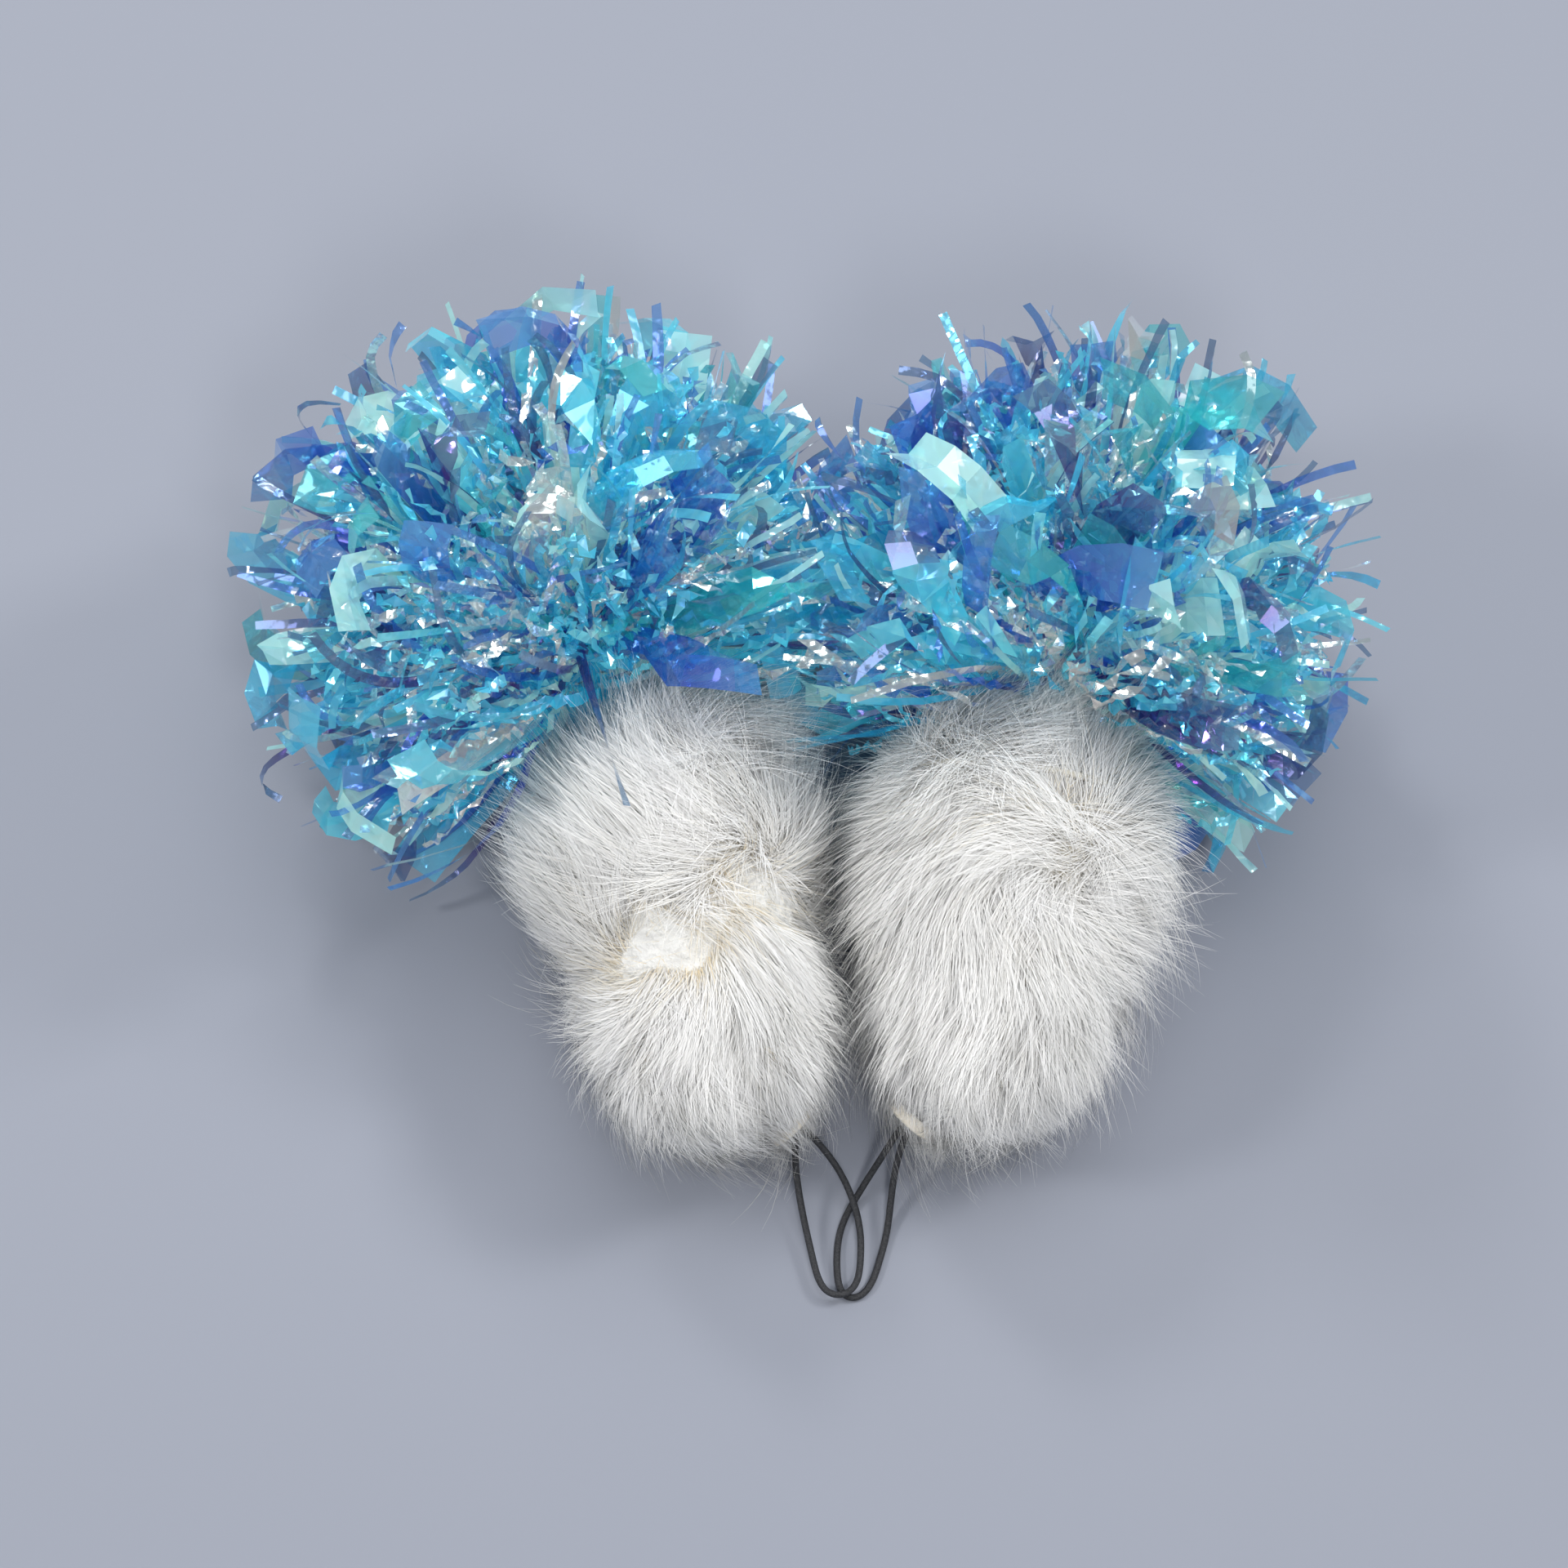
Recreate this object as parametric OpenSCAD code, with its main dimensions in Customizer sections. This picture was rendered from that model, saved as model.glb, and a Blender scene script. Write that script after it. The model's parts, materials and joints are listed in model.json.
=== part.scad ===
// Pair of small finger cheer pom poms: each is a burst of cut iridescent film on a stuffed fur
// sleeve, with a thin elastic finger loop at its foot. Millimetres, +Z up. The pair lies on z = 0,
// heads towards +Y and finger loops towards -Y. Each sleeve is built foot to crown along local +Z.

/* [Fur sleeve] */
// Distance between the centres of the sleeve's two round ends
sleeve_span = 40; // [34:1:52]
// Radius of the round crown, at the head end
crown_r = 34; // [30:0.5:40]
// Radius of the round foot, at the finger loop end
foot_r = 26; // [22:0.5:30]
// Thickness of the pelt with its packed underfur
pelt_t = 7; // [5:0.5:9]
// How deep the underside is pressed flat by lying down
sleeve_sink = 3; // [2:0.5:4]
// Half angle of the open mouth at the crown
mouth_angle = 54; // [52:1:60]
// Thickness of the gathering thread inside the mouth
thread_d = 1.6; // [1:0.1:2.4]

/* [Tinsel head] */
// Radius of the packed part of the burst
burst_r = 62; // [55:1:66]
// Distance from the burst's centre to the tips of the wide strips
tip_r = 70; // [66:1:80]
// Level distance from the neck to the burst's centre
head_reach = 60; // [54:1:72]
// Height of the burst's centre above the neck
head_rise = 17; // [12:1:22]
// Width of a wide film strip
strip_w = 13; // [8:1:16]
// Thickness of a wide film strip, as a group of plies
strip_t = 0.6; // [0.3:0.1:1]
// Gap between the crown and the hollow that the head sits over it with
crown_gap = 0.6; // [0.4:0.1:2]
// Half of the gap kept between the two heads
middle_gap = 0.4; // [0.3:0.1:2]

/* [Neck] */
// Radius of the whipping that holds the stem's knot
binding_r = 9; // [7:0.5:12]
// Radius of the knot at the end of the wire stem
knot_r = 4; // [3:0.25:5]
// Radius of the twisted wire stem
stem_r = 2.5; // [1.5:0.25:3]
// Radius of the gathered root of the tinsel
root_r = 9; // [7:0.5:12]
// Length of the gathered root
root_len = 22; // [16:1:26]
// Distance from the neck to the near end of the root
root_start = 38; // [36:1:44]
// Diameter of the binding wire round the root
wire_d = 1.4; // [0.8:0.1:2]
// Upward bend that the slot in the whipping leaves room for, in degrees
lift_room = 20; // [10:1:22]

/* [Finger loop] */
// Diameter of the elastic
elastic_d = 1.5; // [1:0.1:1.8]
// Radius of the leather patch that the elastic leaves through
patch_r = 6; // [5:0.5:8]
// Thickness of the patch
patch_t = 2.5; // [2:0.25:3]
// Radius of the stay washer behind the patch
washer_r = 5; // [4:0.5:5.5]
// Thickness of the stay washer
washer_t = 1.2; // [0.8:0.1:1.6]
// Radius of the elastic's knot behind the washer
tie_r = 3; // [2.5:0.25:4]
// Distance between the two strands where they leave the patch
strand_gap = 1.8; // [1.8:0.1:3]
// Turn of the patch round the foot towards the other pom pom, in degrees
patch_turn = 37; // [20:1:50]
// Drop of the patch below level, in degrees
patch_drop = 22; // [10:1:30]

/* [Placement] */
// Left foot's centre, sideways
left_x = -24; // [-34:1:-22]
// Left foot's centre, lengthways
left_y = -72; // [-90:1:-60]
// Gap from the middle line to the left crown, below 0 where the crown reaches past the line
left_clear = -2; // [-4:0.5:4]
// Left head's turn outwards from its sleeve, in degrees
left_bend = 12; // [6:1:14]
// Right foot's centre, sideways
right_x = 37; // [34:1:44]
// Right foot's centre, lengthways
right_y = -70; // [-90:1:-60]
// Gap from the middle line to the right crown
right_clear = 8.5; // [6:0.5:12]
// Right head's turn outwards from its sleeve, in degrees
right_bend = 6; // [4:1:14]

/* [Hidden] */
$fn = 64;

// Places: [foot x, foot y, crown x, bend, side], with side -1 on the left and 1 on the right
LEFT = [left_x, left_y, -crown_r - left_clear, left_bend, -1];
RIGHT = [right_x, right_y, crown_r + right_clear, right_bend, 1];

// The sleeve's cone touches both round ends, and lies along the floor, so its axis rises by taper
taper = asin((crown_r - foot_r) / sleeve_span);
foot_h = foot_r - sleeve_sink;
crown_h = crown_r - sleeve_sink;
level_span = sleeve_span * cos(taper);
// Turns about Z: of the sleeve, of the head and of the patch
function lean_of(p) = asin((p[0] - p[2]) / level_span);
function head_turn(p) = lean_of(p) - p[4] * p[3];
function patch_yaw(p) = lean_of(p) - p[4] * patch_turn;
function crown_xy(p) = [p[2], p[1] + level_span * cos(lean_of(p))];

arc_step = 8;
function arc(c, r, from, to) = let (n = ceil(abs(to - from) / arc_step))
    [for (i = [0:n]) let (a = from + (to - from) * i / n) [r * cos(a), c + r * sin(a)]];

// Outline of the sleeve from the foot's pole to the mouth, set in from the outside by inset
function sleeve_line(inset) = concat(
    arc(0, foot_r - inset, -90, -taper),
    arc(sleeve_span, crown_r - inset, -taper, 90 - mouth_angle)
);
function reversed(a) = [for (i = [len(a) - 1:-1:0]) a[i]];

fit = 0.2; // clearance round hidden pieces
seat_r = binding_r + 0.3; // hollow that the whipping turns in
ball_gap = 0.3; // clearance round the stem's knot
slot_half = stem_r + 0.7; // half width of the slot that the stem lifts in
face_r = foot_r + 0.5; // distance from the foot's centre to the patch's outer face
washer_face = face_r - patch_t - fit;
tie_at = washer_face - washer_t - tie_r - fit; // centre of the elastic's knot
pocket_floor = tie_at - tie_r - 0.5;
pocket_r = max(patch_r, washer_r) + 0.1;
burst_angle = 62; // the burst keeps within this angle of its own axis, seen from the neck
far = 200; // beyond every piece

// Wide strips of a head: [turn from straight outwards, rise, roll], in degrees
STRIPS = [
    [0, 0, 0], [-62, 4, 30], [-32, 10, 70], [28, -6, 40], [58, 8, 20], [90, 0, 0],
    [-50, -14, 60], [12, 24, 50], [44, 30, 10], [78, 26, 60], [-20, 34, 25], [-64, 28, 80],
    [104, 36, 30], [0, 52, 70], [60, 54, 15], [-60, 52, 50], [110, 60, 65], [20, 76, 20]
];
strip_in = 46; // where a wide strip comes out of the packed part

// Routes of the loops' elastic, from one strand's start round to the other's
LEFT_ROUTE = [
    [-5.5, -89.5, 12.6], [-5.6, -91.5, 11.6], [-5.5, -95, 9], [-5.1, -98.6, 7], [-4.4, -102.7, 5.2],
    [-3.5, -107.2, 4], [-2.5, -111.6, 3.2], [-1.5, -115.8, 2.8], [-0.1, -119.7, 2.7], [1.6, -122.4, 2.6],
    [3.7, -123.4, 2.6], [5.8, -122.6, 2.6], [7.5, -120.3, 2.6], [8.5, -117, 2.6], [8.9, -113.2, 2.7],
    [8.8, -109.5, 3], [8.3, -106.2, 3.5], [7.5, -103.2, 4.1], [6.4, -100.4, 5.1], [5, -97.7, 6.5],
    [3.1, -95, 8.3], [0.7, -92.4, 10.3], [-1.8, -90, 12], [-4.3, -88.1, 12.6]
];
RIGHT_ROUTE = [
    [19.6, -88.8, 12.6], [18.4, -90.6, 11.8], [17.2, -93.6, 9.3], [16.3, -97.2, 6.5], [15.7, -101, 4],
    [15.2, -105.1, 2], [14.5, -109.3, 1], [13.4, -113.6, 0.8], [12, -117.6, 0.8], [10.2, -121, 0.8],
    [8.3, -123.1, 0.8], [6.4, -123.4, 0.8], [4.9, -121.9, 0.8], [4, -118.9, 0.8], [3.6, -115.2, 0.8],
    [3.8, -111.3, 0.8], [4.5, -107.8, 0.8], [5.7, -104.6, 0.9], [7.3, -101.8, 1.5], [9.2, -99, 3],
    [11.3, -96.2, 5.2], [13.6, -93.4, 8], [15.8, -90.6, 10.8], [18, -87.9, 12.6]
];
loop_sides = 8;

// --- frames of the pieces ---

// Children are built along the sleeve's axis, from the centre of its foot
module on_sleeve(p) {
    translate([p[0], p[1], foot_h]) rotate([0, 0, lean_of(p)]) rotate([taper - 90, 0, 0]) children();
}

// Children are built along +Z, which points out of the patch, from the foot's centre
module on_patch(p) {
    translate([p[0], p[1], foot_h]) rotate([0, 0, patch_yaw(p)]) rotate([90 + patch_drop, 0, 0]) children();
}

// Children are built along +Y, level, from the neck
module on_neck(p) {
    translate([crown_xy(p)[0], crown_xy(p)[1], crown_h]) rotate([0, 0, head_turn(p)]) children();
}

module along_y(start) {
    translate([0, start, 0]) rotate([-90, 0, 0]) children();
}

module below_floor() {
    translate([-far, -far, -2 * far]) cube([2 * far, 2 * far, 2 * far]);
}

// Everything on the other pom pom's side of the middle, less half of the gap
module other_side(p) {
    translate([-p[4] * (far - middle_gap), 0, 0]) cube(2 * far, center = true);
}

// --- the fur sleeve and what it holds ---

module sleeve_shell() {
    rotate_extrude() polygon(concat(sleeve_line(0), reversed(sleeve_line(pelt_t))));
}

thread_at = 90 - mouth_angle - 8; // the thread lies this far up the crown, inside the pelt
module mouth_thread_ring(grow) {
    r = crown_r - pelt_t / 2;
    translate([0, 0, sleeve_span + r * sin(thread_at)]) rotate_extrude()
        translate([r * cos(thread_at), 0]) circle(d = thread_d + grow, $fn = 24);
}

module pocket() {
    translate([0, 0, pocket_floor]) cylinder(r = pocket_r, h = far - pocket_floor);
}

module fur_sleeve(p) {
    color("ivory") difference() {
        on_sleeve(p) difference() {
            sleeve_shell();
            mouth_thread_ring(fit);
        }
        on_patch(p) pocket();
        below_floor();
    }
}

module stuffing(p) {
    inner = sleeve_line(pelt_t);
    seat = arc(sleeve_span, seat_r, 90 - mouth_angle, -90);
    color("white") difference() {
        on_sleeve(p) rotate_extrude() polygon(concat(inner, seat));
        on_patch(p) pocket();
    }
}

module mouth_thread(p) {
    color("linen") on_sleeve(p) mouth_thread_ring(0);
}

// --- the elastic's way out ---

module strand_holes(d) {
    for (s = [-1, 1]) translate([s * strand_gap / 2, 0, 0]) cylinder(d = d, h = far, $fn = 32);
}

patch_thread_d = 1;
patch_thread_r = patch_r - 1.4;
module patch_thread_ring(grow) {
    translate([0, 0, face_r]) rotate_extrude()
        translate([patch_thread_r, 0]) circle(d = patch_thread_d + grow, $fn = 24);
}

module end_patch(p) {
    color("tan") on_patch(p) difference() {
        translate([0, 0, face_r - patch_t]) cylinder(r = patch_r, h = patch_t);
        strand_holes(elastic_d + fit);
        patch_thread_ring(fit);
    }
}

module patch_thread(p) {
    color("linen") on_patch(p) patch_thread_ring(0);
}

module stay_washer(p) {
    color("dimgray") on_patch(p) difference() {
        translate([0, 0, washer_face - washer_t]) cylinder(r = washer_r, h = washer_t);
        strand_holes(elastic_d + fit);
    }
}

module elastic_tie(p) {
    color("black") on_patch(p) union() {
        translate([0, 0, tie_at]) sphere(r = tie_r);
        translate([0, 0, tie_at]) intersection() {
            strand_holes(elastic_d);
            cylinder(r = washer_r, h = face_r - tie_at);
        }
    }
}

// --- the finger loops ---

function unit(v) = v / norm(v);
function heading(route, i) =
    unit(route[min(i + 1, len(route) - 1)] - route[max(i - 1, 0)]);
// A ring square to the route; its side direction is level, so the rings never twist
function ring(route, i, r) =
    let (
        t = heading(route, i),
        side = unit(cross([0, 0, 1], t)),
        up = cross(t, side)
    )
    [for (k = [0:loop_sides - 1]) let (a = 360 * k / loop_sides)
        route[i] + r * (cos(a) * side + sin(a) * up)];

module swept_cord(route, d) {
    n = len(route);
    m = loop_sides;
    points = [for (i = [0:n - 1]) each ring(route, i, d / 2)];
    walls = [for (i = [0:n - 2]) for (k = [0:m - 1])
        [i * m + k, (i + 1) * m + k, (i + 1) * m + (k + 1) % m, i * m + (k + 1) % m]];
    ends = [[for (k = [0:m - 1]) k], [for (k = [m - 1:-1:0]) (n - 1) * m + k]];
    polyhedron(points, concat(walls, ends), convexity = 10);
}

module finger_loop(route) {
    color("black") swept_cord(route, elastic_d);
}

// --- the neck ---

module neck_binding(p) {
    c = slot_half;
    reach = 2 * binding_r;
    slot = [
        [0, -c], [reach, -c],
        [reach * cos(lift_room) - c * sin(lift_room), reach * sin(lift_room) + c * cos(lift_room)],
        [-c * sin(lift_room), c * cos(lift_room)]
    ];
    color("lightgray") on_neck(p) difference() {
        sphere(r = binding_r);
        sphere(r = knot_r + ball_gap);
        rotate([90, 0, 90]) linear_extrude(2 * c, center = true) polygon(slot);
    }
}

module wire_stem(p) {
    color("silver") on_neck(p) union() {
        sphere(r = knot_r);
        along_y(0) cylinder(r = stem_r, h = root_start + root_len / 2);
    }
}

// --- the tinsel head ---

module binding_turns(grow) {
    for (turn = [-1:1]) translate([0, 0, root_start + root_len / 2 + turn * wire_d * 1.3])
        rotate_extrude() translate([root_r, 0]) circle(d = wire_d + grow, $fn = 24);
}

module tinsel_root(p) {
    color("deepskyblue") on_neck(p) along_y(0) difference() {
        translate([0, 0, root_start]) cylinder(r = root_r, h = root_len);
        cylinder(r = stem_r, h = root_start + root_len / 2);
        binding_turns(fit);
    }
}

module binding_wire(p) {
    color("silver") on_neck(p) along_y(0) binding_turns(0);
}

// What the burst keeps clear of: the bound root, the crown, and everything further than burst_angle
// from the head's own axis, seen from the neck. One turned shape, because all three share that axis
module clear_of_burst() {
    a = burst_angle;
    root = root_r + wire_d;
    hollow = crown_r + crown_gap;
    root_end = root_start + root_len + fit;
    along_y(0) rotate_extrude() polygon(concat(
        [[0, root_end], [root, root_end]],
        arc(0, hollow, acos(root / hollow), 90 - a),
        [[far * sin(a), far * cos(a)], [far, far * cos(a)], [far, -far], [0, -far]]
    ));
}

module fine_tinsel(p) {
    color("deepskyblue") difference() {
        on_neck(p) difference() {
            translate([0, head_reach, head_rise]) sphere(r = burst_r);
            clear_of_burst();
        }
        other_side(p);
        below_floor();
    }
}

module wide_strips(p) {
    head = crown_xy(p) + head_reach * [-sin(head_turn(p)), cos(head_turn(p))];
    color("mediumblue") difference() {
        translate([head[0], head[1], crown_h + head_rise])
            mirror([p[4] > 0 ? 0 : 1, 0, 0]) for (s = STRIPS)
                rotate([0, -s[1], s[0]]) rotate([s[2], 0, 0]) translate([strip_in, -strip_w / 2, -strip_t / 2])
                    cube([tip_r - strip_in, strip_w, strip_t]);
        on_neck(p) sphere(r = crown_r + crown_gap);
    }
}

fur_sleeve(LEFT);  // left_fur_sleeve
stuffing(LEFT);  // left_stuffing
mouth_thread(LEFT);  // left_mouth_thread
end_patch(LEFT);  // left_end_patch
patch_thread(LEFT);  // left_patch_thread
stay_washer(LEFT);  // left_stay_washer
elastic_tie(LEFT);  // left_elastic_tie
finger_loop(LEFT_ROUTE);  // left_finger_loop
neck_binding(LEFT);  // left_neck_binding
wire_stem(LEFT);  // left_wire_stem
tinsel_root(LEFT);  // left_tinsel_root
binding_wire(LEFT);  // left_binding_wire
fine_tinsel(LEFT);  // left_fine_tinsel
wide_strips(LEFT);  // left_wide_strips
fur_sleeve(RIGHT);  // right_fur_sleeve
stuffing(RIGHT);  // right_stuffing
mouth_thread(RIGHT);  // right_mouth_thread
end_patch(RIGHT);  // right_end_patch
patch_thread(RIGHT);  // right_patch_thread
stay_washer(RIGHT);  // right_stay_washer
elastic_tie(RIGHT);  // right_elastic_tie
finger_loop(RIGHT_ROUTE);  // right_finger_loop
neck_binding(RIGHT);  // right_neck_binding
wire_stem(RIGHT);  // right_wire_stem
tinsel_root(RIGHT);  // right_tinsel_root
binding_wire(RIGHT);  // right_binding_wire
fine_tinsel(RIGHT);  // right_fine_tinsel
wide_strips(RIGHT);  // right_wide_strips
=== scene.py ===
# %% [markdown]
# # A pair of small cheer pom poms
# Each pom pom is a burst of iridescent film on a stuffed sleeve of white rabbit fur, with a thin
# elastic finger loop at its foot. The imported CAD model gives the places, sizes and joints, and it
# stays as it is. This lesson builds what the eye sees around it: the film, the fur and the elastic.

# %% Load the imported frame
import json
import bpy
import numpy as np
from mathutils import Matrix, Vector


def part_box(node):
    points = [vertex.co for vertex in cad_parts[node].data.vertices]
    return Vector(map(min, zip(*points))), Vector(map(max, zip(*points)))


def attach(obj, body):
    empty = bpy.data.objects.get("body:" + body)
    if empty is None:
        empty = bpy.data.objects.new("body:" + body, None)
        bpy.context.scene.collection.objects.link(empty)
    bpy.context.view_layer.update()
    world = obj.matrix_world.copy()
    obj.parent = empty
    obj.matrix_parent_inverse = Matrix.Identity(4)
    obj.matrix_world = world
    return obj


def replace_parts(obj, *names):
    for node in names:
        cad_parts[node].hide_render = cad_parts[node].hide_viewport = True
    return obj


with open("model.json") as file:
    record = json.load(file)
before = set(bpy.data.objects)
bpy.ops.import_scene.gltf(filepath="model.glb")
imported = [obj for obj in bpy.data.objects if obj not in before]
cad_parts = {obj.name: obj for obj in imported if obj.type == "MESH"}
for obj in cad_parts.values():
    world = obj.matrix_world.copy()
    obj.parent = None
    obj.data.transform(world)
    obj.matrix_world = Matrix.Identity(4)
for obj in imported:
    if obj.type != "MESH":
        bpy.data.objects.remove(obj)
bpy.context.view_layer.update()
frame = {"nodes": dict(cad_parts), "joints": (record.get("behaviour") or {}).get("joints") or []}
MM = 0.001
SIDES = ("left", "right")

# %% [markdown]
# ## Where things are
# A sleeve is the surface round two balls: a large one at the crown, under the film, and a smaller
# one at the foot, where the elastic is. The neck joints give the crowns' centres. The feet's centres
# and the two radii are the design's own values. Everything soft is placed from these few points.

# %% Centres and axes of the sleeves
CROWN_R, FOOT_R = 34 * MM, 26 * MM
FOOT = {"left": np.array([-24, -72, 23]) * MM, "right": np.array([37, -70, 23]) * MM}
neck_at = {j["name"]: np.array(j["pos_m"], float) for j in frame["joints"] if "pos_m" in j}
CROWN = {side: neck_at[f"{side}_head_sway"] for side in SIDES}


def unit(v):
    """Scales vectors to length 1 along their last axis."""
    return v / np.maximum(np.linalg.norm(v, axis=-1, keepdims=True), 1e-12)


def sleeve_axes(side):
    """Three directions square to each other: across the sleeve, up from it, and along it to the crown."""
    along = unit(CROWN[side] - FOOT[side])
    across = unit(np.cross(along, [0, 0, 1]))
    return across, np.cross(across, along), along


for side in SIDES:
    print(side, "crown", CROWN[side].round(4), "axis", sleeve_axes(side)[2].round(3))

# %% [markdown]
# ## The camera
# It looks down steeply from the finger loops' side, so that the loops are nearest and the film
# fans away. A long lens keeps the perspective mild.

# %% Set up the camera
AIM = np.array([-8, -13, 30]) * MM
STEEPNESS, DISTANCE = np.radians(65), 0.83
camera_data = bpy.data.cameras.new("camera")
camera_data.lens = 85
camera = bpy.data.objects.new("camera", camera_data)
bpy.context.scene.collection.objects.link(camera)
camera.location = AIM + DISTANCE * np.array([0, -np.cos(STEEPNESS), np.sin(STEEPNESS)])
camera.rotation_euler = (np.pi / 2 - STEEPNESS, 0, 0)
bpy.context.scene.camera = camera
print("camera at", np.round(camera.location, 3))

# %% [markdown]
# ## The studio
# Film shows what it mirrors, so it needs lights with edges: a broad softbox overhead makes the
# fur soft, and four small bright ones round the pair make the sparks. A dim bluish sky fills the
# shadows. Point lights would be simpler, but their mirror images would be too small to see.

# %% Add the lights
def area_light(name, place, size, power, colour=(1, 1, 1)):
    """A square light of that size in metres and power in watts, turned to face the pair."""
    data = bpy.data.lights.new(name, "AREA")
    data.size, data.energy, data.color = size, power, colour
    lamp = bpy.data.objects.new(name, data)
    bpy.context.scene.collection.objects.link(lamp)
    lamp.location = place
    away = lamp.location - Vector(AIM)
    lamp.rotation_euler = away.to_track_quat("Z", "Y").to_euler()
    return lamp


area_light("overhead_softbox", (0.1, 0.30, 1.15), 0.8, 5.4)
SPARKS = [(-0.8, -0.1, 0.75), (-0.35, 0.75, 0.75), (0.75, 0.25, 0.75), (0.15, -0.7, 0.9)]
for number, place in enumerate(SPARKS):
    area_light(f"spark_{number}", place, 0.20, 4.2, (1, 0.98, 0.94))
world = bpy.data.worlds.new("studio")
world.use_nodes = True
sky = world.node_tree.nodes["Background"]
sky.inputs["Color"].default_value = (0.84, 0.91, 1, 1)
sky.inputs["Strength"].default_value = 0.26
bpy.context.scene.world = world
bpy.context.scene.view_settings.view_transform = "Standard"
print("one softbox and", len(SPARKS), "sparks")

# %% [markdown]
# ## A small language for materials
# A material is a sum of simple patterns. Nodes can be placed one by one, but `0.2 + 0.5 * mask` is
# easier to read. So a value wraps one socket, and arithmetic on it adds the Math nodes.

# %% Values that build nodes
class Value:
    """One output socket of a material, with arithmetic that adds Math nodes."""

    def __init__(self, finish, socket):
        self.finish, self.socket = finish, socket

    def math(self, operation, *inputs):
        return self.finish.node("ShaderNodeMath", {"operation": operation}, dict(enumerate(inputs)))

    def __add__(self, other):
        return self.math("ADD", self, other)

    def __sub__(self, other):
        return self.math("SUBTRACT", self, other)

    def __rsub__(self, other):
        return self.math("SUBTRACT", other, self)

    def __mul__(self, other):
        return self.math("MULTIPLY", self, other)

    def step(self, low, high):
        """0 below low, 1 above high, and smooth between."""
        settings = {"interpolation_type": "SMOOTHSTEP"}
        return self.finish.node("ShaderNodeMapRange", settings,
                                {"Value": self, "From Min": low, "From Max": high})

    __radd__, __rmul__ = __add__, __mul__


# %% A finish is one material
class Finish:
    """A material with one Principled shader. Settings that are the same all over go straight on it."""

    def __init__(self, name, **constant):
        self.material = bpy.data.materials.new(name)
        self.material.use_nodes = True
        self.tree = self.material.node_tree
        self.shader = self.tree.nodes["Principled BSDF"]
        sockets = {socket.name.lower().replace(" ", "_"): socket for socket in self.shader.inputs}
        for name, value in constant.items():
            sockets[name].default_value = value

    def node(self, kind, settings=None, inputs=None, output=0):
        """Adds a node of a type, sets it up, then joins or fills its sockets. Returns one output."""
        made = self.tree.nodes.new(kind)
        for name, value in (settings or {}).items():
            if name == "stops":
                self.set_stops(made.color_ramp, value)
            else:
                setattr(made, name, value)
        for name, value in (inputs or {}).items():
            self.join(made.inputs[name], value)
        return Value(self, made.outputs[output])

    def join(self, socket, value):
        """Links a value to a socket, or writes a number or colour into it."""
        if isinstance(value, Value):
            self.tree.links.new(value.socket, socket)
        else:
            socket.default_value = value

    def set_stops(self, ramp, stops):
        """Gives a colour ramp its (place, colour) stops."""
        while len(ramp.elements) < len(stops):
            ramp.elements.new(1)
        for element, (at, colour) in zip(ramp.elements, stops):
            element.position, element.color = at, (*colour, 1)

    def ramp(self, value, stops, interpolation="LINEAR"):
        """A colour for each value from 0 to 1."""
        made = self.node("ShaderNodeValToRGB", {"stops": stops}, {"Fac": value})
        made.socket.node.color_ramp.interpolation = interpolation
        return made

    def mix(self, share, a, b):
        """A colour between a and b."""
        settings = {"data_type": "RGBA"}
        return self.node("ShaderNodeMix", settings, {0: share, 6: a, 7: b}, output=2)

    def here(self):
        """The place on the object, in metres."""
        return self.node("ShaderNodeTexCoord", output="Object")

    def strand_map(self):
        """(tint, way along the strand), both from 0 to 1, from the strand's own map."""
        uv = self.node("ShaderNodeUVMap", {"uv_map": "OFBake"})
        split = self.node("ShaderNodeSeparateXYZ", inputs={0: uv}).socket.node
        return Value(self, split.outputs[0]), Value(self, split.outputs[1])

    def noise(self, at, scale, detail):
        """Soft random lumps, scale of them to a metre, with finer ones on top for each detail."""
        return self.node("ShaderNodeTexNoise", inputs={"Vector": at, "Scale": scale, "Detail": detail})

    def feed(self, socket, value):
        """Gives the shader's socket of that name a value that changes over the surface."""
        self.join(self.shader.inputs[socket], value)

    def bump(self, height, distance):
        """Raises the surface by height times distance, in metres, as the light sees it."""
        inputs = {"Height": height, "Distance": distance, "Strength": 1.0}
        self.feed("Normal", self.node("ShaderNodeBump", inputs=inputs, output="Normal"))


def rgb(*values):
    """A colour socket's four numbers from red, green and blue."""
    return (*values, 1)


def grained_finish(name, scale, detail, stops, depth, **constant):
    """A finish whose colour and relief both follow one noise."""
    finish = Finish(name, **constant)
    grain = finish.noise(finish.here(), scale, detail)
    finish.feed("Base Color", finish.ramp(grain, stops))
    finish.bump(grain, depth)
    return finish


# %% [markdown]
# ## Surfaces from arrays
# Every new piece is a mesh from numpy arrays. A strand of film or a hair is a ribbon: a row of
# pairs of points, one pair to each step along it. All the ribbons of a piece are worked out at once.

# %% Helpers that make meshes
COLUMNS = 64  # tints that the strands of a piece share


def above_floor(points, least):
    """Presses points softly up to a least height, as the table does."""
    z = points[..., 2]
    pressed = np.where(z < least + 2 * MM, least + 2 * MM * np.exp((z - least - 2 * MM) / (2 * MM)), z)
    return np.concatenate([points[..., :2], np.maximum(pressed, least)[..., None]], axis=-1)


def add_piece(name, mesh, body, finish):
    """Makes an object of a mesh at the origin, gives it its finish, and lets it ride on a body."""
    mesh.materials.append(finish.material)
    piece = bpy.data.objects.new(name, mesh)
    bpy.context.scene.collection.objects.link(piece)
    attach(piece, body)
    return piece


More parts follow.
